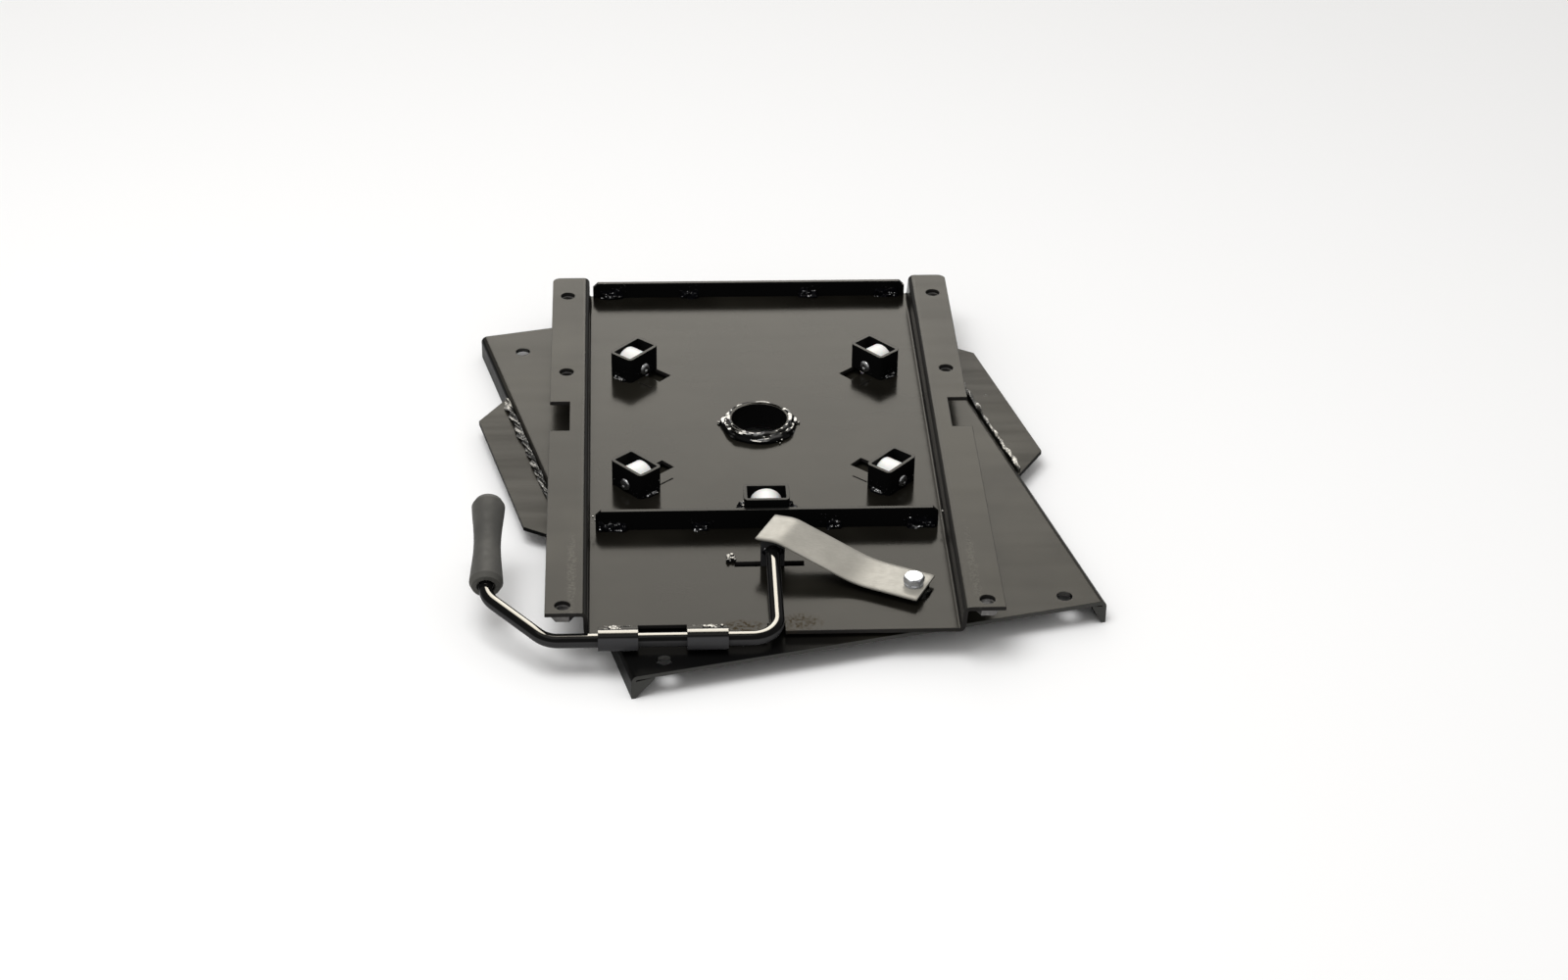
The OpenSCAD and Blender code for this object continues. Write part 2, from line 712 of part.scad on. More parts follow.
// Two lumps of weld at the left end of the blade slot
module slot_weld() {
    lump_x = slot_x - slot_l / 2 - lump_r + lump_step;
    color([0.5, 0.5, 0.48]) translate([lump_x, blade_y + slot_w / 2 + lump_step, 0])
        intersection() {
            union() {
                sphere(r = lump_r, $fn = bar_fn);
                translate([lump_r / 2, lump_r, 0]) sphere(r = lump_r - lump_step, $fn = bar_fn);
            }
            translate([-2 * lump_r, -2 * lump_r, 0]) cube(4 * lump_r);
        }
}

// Centre line of the strap's underside, as distance along the strap and height
function strap_path(n = 12) =
    let (top_s = strap_l - strap_tip_l)
    concat(
        [[0, 0]],
        [for (i = [0:n]) [strap_flat + (top_s - strap_flat) * i / n, strap_rise * ease(i / n)]],
        [[strap_l, strap_rise - strap_tip_drop]]
    );

// Height share along the rising part: a soft start and an almost straight climb
function ease(u) =
    let (a = strap_ease)
    (u < a ? u * u : a * a + 2 * a * (u - a)) / (2 * a - a * a);

module spring_strap() {
    low = strap_path();
    high = [for (i = [len(low) - 1:-1:0]) low[i] + [0, strap_t]];
    color([0.72, 0.71, 0.68]) difference() {
        translate([strap_x, -strap_y, strap_seat]) rotate([0, 0, 180 - strap_turn])
            along_y(-strap_w / 2, strap_w / 2) polygon(concat(low, high));
        translate([bolt_x, bolt_y, strap_seat - eps])
            cylinder(d = bolt_d + 2 * bolt_strap_gap, h = strap_t + 2 * eps);
    }
}

// Square boss with a tapped hole, welded to the floor under the strap
module spring_boss() {
    color([0.12, 0.12, 0.12]) translate([bolt_x, bolt_y, 0]) rotate([0, 0, -strap_turn]) difference() {
        translate([-boss_w / 2, -boss_w / 2, 0]) cube([boss_w, boss_w, strap_seat]);
        translate([0, 0, -eps]) cylinder(d = bolt_d, h = strap_seat + 2 * eps);
    }
}

module boss_weld() {
    color([0.3, 0.3, 0.3]) translate([bolt_x, bolt_y, 0]) rotate([0, 0, -strap_turn])
        bead_x(0, -boss_w / 2, 0, boss_w - 2 * boss_bead_in, bead_leg);
}

// Hexagon bolt through the strap into its boss
module spring_bolt() {
    color([0.8, 0.82, 0.85]) translate([bolt_x, bolt_y, 0]) {
        translate([0, 0, strap_seat + strap_t]) cylinder(d = bolt_af / cos(30), h = bolt_head_h, $fn = 6);
        translate([0, 0, bolt_tip - sheet_t])
            cylinder(d = bolt_d, h = strap_seat + strap_t + sheet_t - bolt_tip);
    }
}

base_plate();
wing_left();
wing_right();
wing_welds();
tray();
rail(-1);  // rail_left
rail(1);  // rail_right
cross_wall_front();
cross_wall_rear();
wall_welds();
hub_tube();
hub_weld();
hub_ring();
roller_box(0);  // box_rear_right
roller_box(1);  // box_rear_left
roller_box(2);  // box_front_left
roller_box(3);  // box_front_right
roller_box(4);  // box_front_middle
roller_axle(0);  // axle_rear_right
roller_axle(1);  // axle_rear_left
roller_axle(2);  // axle_front_left
roller_axle(3);  // axle_front_right
roller_axle(4);  // axle_front_middle
roller(0);  // roller_rear_right
roller(1);  // roller_rear_left
roller(2);  // roller_front_left
roller(3);  // roller_front_right
roller(4);  // roller_front_middle
box_welds();
weld_nuts();
clip_left();
clip_right();
clip_welds();
lever_bar();
lever_grip();
latch_blade();
blade_welds();
slot_weld();
spring_strap();
spring_boss();
boss_weld();
spring_bolt();
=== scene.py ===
"""Looks of the swivel seat base adapter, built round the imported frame. Lengths are in metres."""
import math
import random
from collections import namedtuple

import bmesh
import bpy
from mathutils import Matrix, Vector, noise

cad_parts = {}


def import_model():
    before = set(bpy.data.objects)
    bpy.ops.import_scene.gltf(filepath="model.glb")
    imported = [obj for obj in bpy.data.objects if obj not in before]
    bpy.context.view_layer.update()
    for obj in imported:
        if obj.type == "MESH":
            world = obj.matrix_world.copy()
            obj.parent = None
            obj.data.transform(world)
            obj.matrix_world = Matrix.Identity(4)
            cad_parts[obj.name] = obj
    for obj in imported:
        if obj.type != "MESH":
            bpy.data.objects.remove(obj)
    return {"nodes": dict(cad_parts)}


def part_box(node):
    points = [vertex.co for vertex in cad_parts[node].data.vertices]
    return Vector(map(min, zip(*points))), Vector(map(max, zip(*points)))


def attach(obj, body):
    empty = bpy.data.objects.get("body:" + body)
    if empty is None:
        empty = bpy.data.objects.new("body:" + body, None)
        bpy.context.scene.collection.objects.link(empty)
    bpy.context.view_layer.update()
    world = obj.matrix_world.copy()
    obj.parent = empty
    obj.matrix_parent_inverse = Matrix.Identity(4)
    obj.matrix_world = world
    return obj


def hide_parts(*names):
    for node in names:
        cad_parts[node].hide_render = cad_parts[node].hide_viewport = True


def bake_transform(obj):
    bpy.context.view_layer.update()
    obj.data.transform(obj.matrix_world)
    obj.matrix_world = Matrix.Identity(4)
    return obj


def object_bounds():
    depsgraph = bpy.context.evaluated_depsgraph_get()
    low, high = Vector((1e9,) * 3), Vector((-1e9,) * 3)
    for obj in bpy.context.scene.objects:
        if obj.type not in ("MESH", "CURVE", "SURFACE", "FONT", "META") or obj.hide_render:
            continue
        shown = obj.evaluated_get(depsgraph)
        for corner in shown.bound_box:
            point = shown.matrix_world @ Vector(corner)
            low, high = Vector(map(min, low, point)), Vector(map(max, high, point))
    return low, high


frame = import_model()
cad_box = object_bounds()
nodes = frame["nodes"]

MM = 0.001
X, Y, Z = Vector((1, 0, 0)), Vector((0, 1, 0)), Vector((0, 0, 1))

# Camera, at the photograph's angle
PHOTO_W = 1600
FOCAL_PX = 3271.4
CAM_YAW = math.radians(-3.67)
CAM_PITCH = math.radians(32.48)
CAM_ROLL = math.radians(1.213)
CAM_OFFSET = Vector((-32.84, -54.93, 2421.75)) * MM
CAM_CENTRE_PX = (18.9, 8.3)
SENSOR_W = 36.0

# Base plate and its wings
BASE_TURN = math.radians(13.9)
BASE_TOP = -6.3 * MM
SHEET_T = 3 * MM
WING_SEAM_X = 171.5 * MM
WING_SEAM_Z = BASE_TOP - SHEET_T
WING_SEAM_HALF = 100 * MM
GROUND_Z = cad_box[0].z

# Tray, with its floor at height 0
FLOOR_Z = 0.0
RAIL_SEAM_X = 132.5 * MM
HUB_R = 24 * MM

# Roller boxes, each at a turn in degrees
CORNERS = ["rear_right", "rear_left", "front_left", "front_right", "front_middle"]
CORNER_TURNS = [41.8, 138.2, 221.8, -41.8, -90.0]
MIDDLE_BOX = CORNERS.index("front_middle")
ROLLER_RING_R = 125.3 * MM
BOX_HALF = Vector((10.75, 16.5)) * MM
AXLE_Z = 6 * MM
AXLE_R = 3 * MM
RIVET_HEAD_T = 1.6 * MM
# Radius in millimetres and share of the head's height, from the middle to the rim
RIVET_HEAD = [(0.05, 0.45), (1.0, 0.5), (1.6, 1), (2.6, 1), (3.9, 0.72), (4.6, 0.25), (4.7, 0)]

# Lever
BAR_R = 5 * MM

# Spring strap, from its bolted end, with its boss and bolt
STRAP_TURN = -27
STRAP_START = Vector((106.5, -230.2, 4.5)) * MM
STRAP_L = 123 * MM
STRAP_FLAT = 36 * MM
STRAP_TIP = 16 * MM
STRAP_TIP_DROP = 1.8 * MM
STRAP_RISE = 18 * MM
STRAP_EASE = 0.3
STRAP_SOFT = 4 * MM
STRAP_HALF_W = 17 * MM
STRAP_T = 2 * MM
STRAP_EDGE = 0.45 * MM
BOSS_HALF = 8.5 * MM
BOSS_BEAD_HALF = 7 * MM
BOLT_R = 4 * MM
BOLT_HALF_AF = 6.5 * MM
BOLT_HEAD_H = 5.3 * MM
BOLT_CHAMFER = 0.6 * MM
WASHER_H = 1.9 * MM
WASHER_R = 6.8 * MM

# Weld beads: rows of the cross walls as wall, distance from the middle and length in millimetres
WALL_ROWS = [("cross_wall_front", 111, 22), ("cross_wall_front", 48, 12),
             ("cross_wall_rear", 111, 20), ("cross_wall_rear", 48, 16)]
WALL_BEAD_RISE = 2.1
# Leg, reach to each side and rise (as a share of the leg) of the beads of a roller box
BOX_BEAD = (2.6 * MM, 6 * MM, 1.0)
MIDDLE_BOX_BEAD = (6.2 * MM, 9.5 * MM, 1.3)
# Radius and rise of the hub's bead, and in degrees its start and end, their spread and its spatter
HUB_BEAD_R = 22.2 * MM
HUB_BEAD_RISE = 1.24
HUB_LUMPS = (172, 8)
HUB_LUMP_SPREAD = 9
HUB_SPATTER = (*HUB_LUMPS, 300)
CLIP_BEAD_IN = 2.5 * MM
CLIP_BLOB_OFF = (-3 * MM, 3 * MM)

# Shape of every bead
BEAD_ARC = 9             # faces across it
BEAD_STEP = 0.45 * MM    # distance of its points
BEAD_ROOT = 0.3 * MM     # depth of its root in the corner
BEAD_BODY = 0.86         # share of the leg under the waves
BEAD_END_POINTS = 4      # points in a tapered end
BEAD_END_SHARE = 0.25    # share of the leg at the very end
BEAD_BOW = 0.35          # lead of an even wave at one wall, as a share of its length
BEAD_DRIFT = 0.35        # change of the uneven waves from face to face
BEAD_SEED_STEP = 7.1     # their change from bead to bead
BEAD_FINE = 3.1          # how many finer waves lie in an uneven one
BEAD_FINE_SHARE = 0.4    # height of the finer waves

# Steps round a piece
HUB_STEPS = 420
RIVET_STEPS = 36
BOLT_STEPS = 96

# Smallest and largest radius of weld spatter
DROPS = (0.35 * MM, 0.9 * MM)
FINE_DROPS = (0.3 * MM, 0.7 * MM)
HUB_DROPS = (0.6 * MM, 1.2 * MM)
CLIP_DROPS = (0.7 * MM, 1.7 * MM)
SLOT_DROPS = (0.8 * MM, 1.8 * MM)
DROP_ROWS, DROP_COLS = 4, 7


def rotated(x, y, turn):
    """The level vector (x, y), turned about Z."""
    c, s = math.cos(turn), math.sin(turn)
    return Vector((c * x - s * y, s * x + c * y, 0))


def axes(degrees):
    """Level directions outward and across at a turn about Z."""
    turn = math.radians(degrees)
    return rotated(1, 0, turn), rotated(0, 1, turn)


def on_base(x, y, z):
    """A point given along the sides of the base plate."""
    return rotated(x, y, BASE_TURN) + Z * z


# Materials

class Shader:
    """A principled material and short calls that add nodes to it."""

    def __init__(self, name):
        self.mat = bpy.data.materials.new(name)
        self.mat.use_nodes = True
        self.tree = self.mat.node_tree
        self.bsdf = self.tree.nodes["Principled BSDF"]
        self.coord = self.add("ShaderNodeTexCoord").outputs["Object"]

    def add(self, kind, **settings):
        node = self.tree.nodes.new(kind)
        for key, value in settings.items():
            setattr(node, key, value)
        return node

    def link(self, source, target):
        self.tree.links.new(source, target)

    def scaled(self, scale):
        node = self.add("ShaderNodeMapping")
        node.inputs["Scale"].default_value = scale
        self.link(self.coord, node.inputs["Vector"])
        return node.outputs["Vector"]

    def noise(self, scale, detail=3.0, rough=0.55, stretch=None):
        node = self.add("ShaderNodeTexNoise")
        node.inputs["Scale"].default_value = scale
        node.inputs["Detail"].default_value = detail
        node.inputs["Roughness"].default_value = rough
        self.link(self.scaled(stretch) if stretch else self.coord, node.inputs["Vector"])
        return node.outputs["Fac"]

    def ramp(self, value, low, high, out_low=0.0, out_high=1.0):
        node = self.add("ShaderNodeMapRange", clamp=True, interpolation_type="SMOOTHSTEP")
        node.inputs["From Min"].default_value = low
        node.inputs["From Max"].default_value = high
        node.inputs["To Min"].default_value = out_low
        node.inputs["To Max"].default_value = out_high
        self.link(value, node.inputs["Value"])
        return node.outputs["Result"]

    def cloud(self, scale, detail, out_low=0.0, out_high=1.0, low=0.3, high=0.7):
        """Soft patches between two values."""
        return self.ramp(self.noise(scale, detail), low, high, out_low, out_high)

    def maths(self, operation, a, b=0.0):
        node = self.add("ShaderNodeMath", operation=operation)
        for socket, value in zip(node.inputs, (a, b)):
            if isinstance(value, (int, float)):
                socket.default_value = value
            else:
                self.link(value, socket)
        return node.outputs["Value"]

    def times(self, a, b):
        return self.maths("MULTIPLY", a, b)

    def mix(self, factor, a, b):
        node = self.add("ShaderNodeMix", data_type="RGBA")
        self.link(factor, node.inputs["Factor"])
        for socket, value in ((node.inputs[6], a), (node.inputs[7], b)):
            if isinstance(value, tuple):
                socket.default_value = (*value, 1.0)
            else:
                self.link(value, socket)
        return node.outputs[2]

    def near(self, point, radius, soft, wobble=0.0, stretch=(1, 1, 1)):
        """1 close to a point and 0 away from it, with a soft and perhaps uneven border."""
        shift = self.add("ShaderNodeVectorMath", operation="SUBTRACT")
        self.link(self.coord, shift.inputs[0])
        shift.inputs[1].default_value = point
        squash = self.add("ShaderNodeVectorMath", operation="MULTIPLY")
        self.link(shift.outputs[0], squash.inputs[0])
        squash.inputs[1].default_value = stretch
        length = self.add("ShaderNodeVectorMath", operation="LENGTH")
        self.link(squash.outputs[0], length.inputs[0])
        far = length.outputs["Value"]
        if wobble:
            far = self.maths("ADD", far, self.times(self.noise(160, 4), wobble))
        return self.ramp(far, radius, radius + soft, 1.0, 0.0)

    def part_of(self, vector, axis):
        """The share of a vector along X, Y or Z."""
        split = self.add("ShaderNodeSeparateXYZ")
        self.link(vector, split.inputs[0])
        return split.outputs[axis]

    def plain_normal(self):
        return self.add("ShaderNodeNewGeometry").outputs["Normal"]

    def facing_up(self, low=0.55, high=0.85):
        """1 on faces that look up and 0 on walls, or the other way with low above high."""
        return self.ramp(self.part_of(self.plain_normal(), "Z"), low, high)

    def facing_front(self, low=0.5, high=0.8):
        """1 on faces that look to the front of the part, where the lever is."""
        normal = self.add("ShaderNodeTexCoord").outputs["Normal"]
        return self.ramp(self.times(self.part_of(normal, "Y"), -1.0), low, high)

    def rounded(self, radius, seam_x):
        """Normal of slightly rounded edges, left plain along the joint of tray and rails."""
        edge = self.add("ShaderNodeBevel", samples=6)
        edge.inputs["Radius"].default_value = radius
        if not seam_x:
            return edge.outputs["Normal"]
        side = self.maths("ABSOLUTE", self.part_of(self.coord, "X"))
        off = self.maths("ABSOLUTE", self.maths("SUBTRACT", side, seam_x))
        pick = self.add("ShaderNodeMix", data_type="VECTOR")
        self.link(self.ramp(off, radius, radius * 1.3), pick.inputs["Factor"])
        self.link(self.plain_normal(), pick.inputs[4])
        self.link(edge.outputs["Normal"], pick.inputs[5])
        return pick.outputs[1]

    def edge(self, radius, seam_x):
        """Falls below 1 where an edge turns the rounded normal away from the plain one."""
        dot = self.add("ShaderNodeVectorMath", operation="DOT_PRODUCT")
        self.link(self.rounded(radius, seam_x), dot.inputs[0])
        self.link(self.plain_normal(), dot.inputs[1])
        return dot.outputs["Value"]

    def bumps(self, layers, round_r=0.0, seam_x=0.0):
        """Chains height layers (height, strength, distance) over a rounded-edge normal."""
        last = self.rounded(round_r, seam_x) if round_r else None
        for height, strength, distance in layers:
            bump = self.add("ShaderNodeBump")
            bump.inputs["Strength"].default_value = strength
            bump.inputs["Distance"].default_value = distance
            self.link(height, bump.inputs["Height"])
            if last:
                self.link(last, bump.inputs["Normal"])
            last = bump.outputs["Normal"]
        self.link(last, self.bsdf.inputs["Normal"])

    def set(self, **values):
        """Sets sockets of the shader, named with _ for a space, to a number, a colour or a link."""
        for key, value in values.items():
            socket = self.bsdf.inputs[key.replace("_", " ")]
            if isinstance(value, (int, float)):
                socket.default_value = value
            elif isinstance(value, tuple):
                socket.default_value = (*value, 1.0)
            else:
                self.link(value, socket)


PAINT_DARK = (0.010, 0.009, 0.007)
PAINT_PALE = (0.024, 0.022, 0.017)
PAINT_TINT = (1.0, 0.965, 0.89)
# Upright faces of the one coat of paint get their own colours as painted light and shade: a deeper
# black, and greys on side and front faces. The deep black is also the plain black of the bar, the
# boxes and the black patch.
WALL_BLACK = (0.004, 0.004, 0.004)
SIDE_GREY = (0.020, 0.019, 0.018)
FRONT_LIT_GREY = (0.055, 0.055, 0.052)
# Painted reflection of the white ground on the downward faces of the bar and the clips.
GROUND_REFLECTION_GREY = (0.034, 0.034, 0.035)
CLIP_REFLECTION_GREY = (0.040, 0.040, 0.042)
SEAM_GREY = (0.06, 0.057, 0.05)
BROWN = (0.050, 0.038, 0.022)
CREAM = (0.11, 0.105, 0.09)
PALE_SPOT_GREY = (0.24, 0.24, 0.23)


def black_paint(name, dark=PAINT_DARK, pale=PAINT_PALE, rough=(0.18, 0.26), round_r=0.9 * MM, *,
                wall=WALL_BLACK, front=None, below=None, flat=(0.55, 0.85), sheen=(0.10, 0.5),
                ior=1.12, edge_highlight_ior=1.45, seam_x=0.0, marks=(), dull=None):
    """Glossy powder coat: soft sheen on top, faint orange peel, and painted light and shade by
    facing.

    Level faces are mottled from dark to pale, and flat says how level a face has to be. wall and
    front colour the upright faces as painted light and shade: mostly deeper black than the level
    faces, and grey where they look to the front. below is a painted reflection of the ground on
    faces that look down, with the slopes where it starts and ends. sheen is the gloss of upright and
    level faces; the lower gloss of upright faces is painted shade as well. Rounded edges go from ior
    to a higher IOR as a painted edge highlight. marks are small spots in the paint: burn marks,
    cream speckles and a pale grey spot. dull holds what near() takes for one black patch with hardly
    any gloss on level faces, which on the base is a painted shadow.
    """
    s = Shader(name)
    up = s.facing_up(*flat)
    # Gloss by facing: lower on upright faces, as painted shade.
    level = s.ramp(up, 0.0, 1.0, *sheen)
    mottle = s.cloud(9, 3, low=0.35)
    # Painted light and shade by facing: upright faces get their own colour, grey where they look to
    # the front.
    side = s.mix(s.facing_front(), wall, front) if front else wall
    colour = s.mix(up, side, s.mix(mottle, dark, pale))
    streak = s.noise(5, 4, 0.6, stretch=(1.0, 14.0, 14.0))
    roughness = s.ramp(streak, 0.25, 0.75, *rough)
    for mark in marks:
        spot = s.near(mark.point, mark.radius, mark.radius * 0.9, mark.radius * 1.1, mark.stretch)
        grain = s.ramp(s.noise(420, 4, 0.7), 0.42, 0.62)
        spot = s.times(spot, grain)
        colour = s.mix(spot, colour, mark.tint)
        roughness = s.maths("ADD", roughness, s.times(spot, 0.35))
        level = s.times(level, s.ramp(spot, 0.0, 1.0, 1.0, mark.gloss))
    # Painted reflection of the ground on faces that look down.
    if below:
        tint, start, end = below
        colour = s.mix(s.facing_up(start, end), colour, tint)
    # A black patch with hardly any gloss on level faces; on the base it is a painted shadow.
    if dull:
        shade = s.times(s.near(*dull), s.facing_up())
        level = s.times(level, s.ramp(shade, 0.0, 1.0, 1.0, 0.06))
        colour = s.mix(shade, colour, WALL_BLACK)
    # Painted edge highlight: rounded edges take a higher IOR.
    rim = s.ramp(s.edge(round_r, seam_x), 0.985, 0.88, ior, edge_highlight_ior)
    s.set(Base_Color=colour, Roughness=roughness, IOR=rim, Specular_IOR_Level=level)
    s.set(Specular_Tint=PAINT_TINT)
    peel, waves = s.noise(520, 2), s.noise(90, 3)
    s.bumps([(peel, 0.16, 0.12 * MM), (waves, 0.08, 0.3 * MM)], round_r, seam_x)
    return s.mat


def weld_metal(name, dark, pale, rough, sheen, fine=0.12, crest=(0.25, 0.8), patch=320, dim=()):
    """A lumpy bead under glossy paint or a paler scaly one, pale and glossier on its upward crests.

    crest says how level a crest is; the pale colour and gloss there are partly the weld's own colour
    and partly a painted highlight. patch is how many pale scales fit in a metre, and dim lists
    points with a radius where the scales are grey instead.
    """
    s = Shader(name)
    up = s.facing_up(*crest)
    scales = s.ramp(s.noise(patch, 5, 0.7), 0.35, 0.65)
    if dim:
        spots = [s.near(point, radius, 12 * MM) for point, radius in dim]
        pale = s.mix(s.maths("MAXIMUM", *spots), SEAM_GREY, pale)
    # Pale scales only on upward crests: partly the weld's own colour, partly a painted highlight.
    s.set(Base_Color=s.mix(s.times(up, scales), dark, pale))
    s.set(Roughness=s.cloud(200, 3, rough, rough + 0.15))
    # Gloss rising on upward crests, partly a painted highlight.
    s.set(IOR=1.9, Specular_IOR_Level=s.ramp(up, 0.0, 1.0, *sheen))
    s.bumps([(s.noise(700, 4, 0.7), fine, 0.2 * MM), (s.noise(240, 2), 0.25, 0.6 * MM)])
    return s.mat


def bare_strap(name):
    """Satin spring steel with fine lines roughly along its length."""
    s = Shader(name)
    dull, bright, scratch = (0.235, 0.224, 0.196), (0.30, 0.286, 0.252), (0.185, 0.176, 0.155)
    lines = s.noise(60, 5, 0.65, stretch=(2.2, 2.2, 2.2))
    blotch = s.cloud(28, 4, high=0.75)
    fine = s.noise(900, 3, 0.6, stretch=(0.25, 1.0, 1.0))
    colour = s.mix(s.ramp(fine, 0.30, 0.75, 0.0, 0.35), s.mix(blotch, dull, bright), scratch)
    s.set(Base_Color=colour, Metallic=0.05, Roughness=s.ramp(lines, 0.3, 0.7, 0.34, 0.46), IOR=1.3)
    s.bumps([(fine, 0.12, 0.1 * MM)], 0.5 * MM)
    return s.mat


def zinc(name, colour, rough, metallic=0.9):
    """Zinc plate or plain steel with a light mottle."""
    s = Shader(name)
    darker = tuple(c * 0.72 for c in colour)
    s.set(Base_Color=s.mix(s.cloud(450, 4), darker, colour), Metallic=metallic)
    s.set(Roughness=s.cloud(300, 3, rough, rough + 0.14))
    s.bumps([(s.noise(900, 3), 0.15, 0.08 * MM)], 0.4 * MM)
    return s.mat


def nylon(name):
    """White moulded nylon with a hint of light inside."""
    s = Shader(name)
    colour = s.mix(s.cloud(70, 3), (0.82, 0.815, 0.79), (0.90, 0.895, 0.875))
    s.set(Base_Color=colour, Roughness=0.4, IOR=1.16)
    s.set(Subsurface_Weight=0.12, Subsurface_Scale=1.5 * MM)
    s.bumps([(s.noise(600, 2), 0.06, 0.1 * MM)], 1.0 * MM)
    return s.mat


def rubber(name):
    """Dark grey rubber, dull, with a fine pebble and a slight sheen."""
    s = Shader(name)
    colour = s.mix(s.cloud(35, 3, high=0.75), (0.050, 0.049, 0.045), (0.070, 0.068, 0.061))
    s.set(Base_Color=colour, IOR=1.2, Roughness=s.cloud(90, 3, 0.52, 0.68))
    s.set(Sheen_Weight=0.05, Sheen_Roughness=0.5)
    s.bumps([(s.noise(1100, 2), 0.22, 0.12 * MM)], 0.9 * MM)
    return s.mat


# Marks in the paint: tint, squeeze along each axis and the share of gloss that is left
Mark = namedtuple("Mark", "point radius tint stretch gloss")
BURN_MARKS = [
    Mark((-46 * MM, -267 * MM, 0), 3.5 * MM, BROWN, (0.35, 1, 1), 0.15),
    Mark((-24 * MM, -266 * MM, 0), 8 * MM, BROWN, (0.45, 1, 1), 0.0),
    Mark((17 * MM, -261 * MM, 0), 8 * MM, BROWN, (0.5, 0.8, 1), 0.0),
]
RAIL_SPECKLES = [
    Mark((side * 139 * MM, -228 * MM, 22 * MM), 3 * MM, CREAM, (1, 0.07, 1), 0.8) for side in (-1, 1)
]
# A small pale grey spot on the right wing, with half the gloss at its middle.
WING_PALE_SPOT = [Mark(on_base(186 * MM, 12 * MM, WING_SEAM_Z), 1.6 * MM, PALE_SPOT_GREY, (1, 1, 1), 0.5)]

# Patches, as near() takes them: point, radius, soft border, wobble and squeeze along each axis
# A painted shadow: a black patch with hardly any gloss on the level faces at the base's front left.
BASE_PAINTED_SHADOW = ((-62 * MM, -304 * MM, BASE_TOP), 36 * MM, 90 * MM, 0.0, (0.62, 1.5, 1.0))
# A black patch with hardly any gloss on the level tails of the clips.
CLIP_TAILS = ((-62 * MM, -270.3 * MM, 2.4 * MM), 5.2 * MM, 0.8 * MM, 0.0, (0.02, 1.0, 0.5))

# Two stretches of the wing seams that are darker, as point and radius
SEAM_DIM = [(on_base(WING_SEAM_X, -75 * MM, -9 * MM), 34 * MM),
            (on_base(-WING_SEAM_X, 100 * MM, -9 * MM), 8 * MM)]

MATERIALS = {
    "paint": black_paint("paint"),
    # Base: grey front faces as painted light, and a painted shadow at its front left.
    "base": black_paint("base_paint", dull=BASE_PAINTED_SHADOW, front=FRONT_LIT_GREY),
    # Tray and rails: their upright faces take a grey of their own, as painted light.
    "tray": black_paint("tray_paint", (0.005, 0.0045, 0.0035), (0.012, 0.011, 0.0085), (0.13, 0.20),
                        marks=BURN_MARKS, sheen=(0.10, 0.54), seam_x=RAIL_SEAM_X, wall=SIDE_GREY),
    "rail": black_paint("rail_paint", marks=RAIL_SPECKLES, seam_x=RAIL_SEAM_X, wall=SIDE_GREY),
    "wing": black_paint("wing_paint", rough=(0.26, 0.40), marks=WING_PALE_SPOT),
    # Bar: gloss only on a narrow band of level faces paints its highlight stripe, and its lower
    # faces carry a painted reflection of the ground.
    "bar": black_paint("bar_paint", WALL_BLACK, WALL_BLACK, (0.05, 0.09), 0.3 * MM,
                       sheen=(0.02, 0.5), ior=1.75, edge_highlight_ior=1.75, flat=(0.925, 0.985),
                       below=(GROUND_REFLECTION_GREY, 0.45, 0.30)),
    "box": black_paint("box_paint", WALL_BLACK, (0.010, 0.010, 0.009), (0.10, 0.2), 0.6 * MM),
    # Clips: gloss only on a narrow band of level faces paints a highlight line on top, their lower
    # faces carry a painted reflection of the ground, and their tails a black patch with hardly any
    # gloss.
    "clip": black_paint("clip_paint", (0.012, 0.012, 0.013), (0.03, 0.03, 0.032), (0.10, 0.22),
                        0.5 * MM, sheen=(0.02, 0.5), ior=1.7, edge_highlight_ior=1.7, flat=(0.94, 0.99),
                        below=(CLIP_REFLECTION_GREY, 0.76, 0.62), dull=CLIP_TAILS),
    "weld": weld_metal("weld_paint", (0.003, 0.003, 0.004), (0.03, 0.028, 0.026), 0.06, (0.02, 0.6),
                       fine=0.1, crest=(0.55, 0.95)),
    "hub": weld_metal("hub_weld_paint", (0.003, 0.003, 0.003), (0.04, 0.038, 0.032), 0.06,
                      (0.02, 0.34), fine=0.03, crest=(0.62, 0.93)),
    "lump": weld_metal("lump_weld", (0.006, 0.006, 0.006), (0.45, 0.42, 0.36), 0.2, (0.03, 0.3),
                       fine=0.2, crest=(0.5, 0.9), patch=170),
    "seam": weld_metal("weld_seam", (0.006, 0.006, 0.005), (0.60, 0.57, 0.50), 0.3, (0.03, 0.3),
                       fine=0.6, dim=SEAM_DIM),
    "strap": bare_strap("strap_steel"),
    "zinc": zinc("zinc_plate", (0.46, 0.47, 0.49), 0.22, 0.6),
    "axle": zinc("axle_zinc", (0.34, 0.34, 0.34), 0.14),
    "nut": zinc("nut_steel", (0.16, 0.155, 0.15), 0.35),
    "nylon": nylon("white_nylon"),
    "rubber": rubber("grip_rubber"),
}

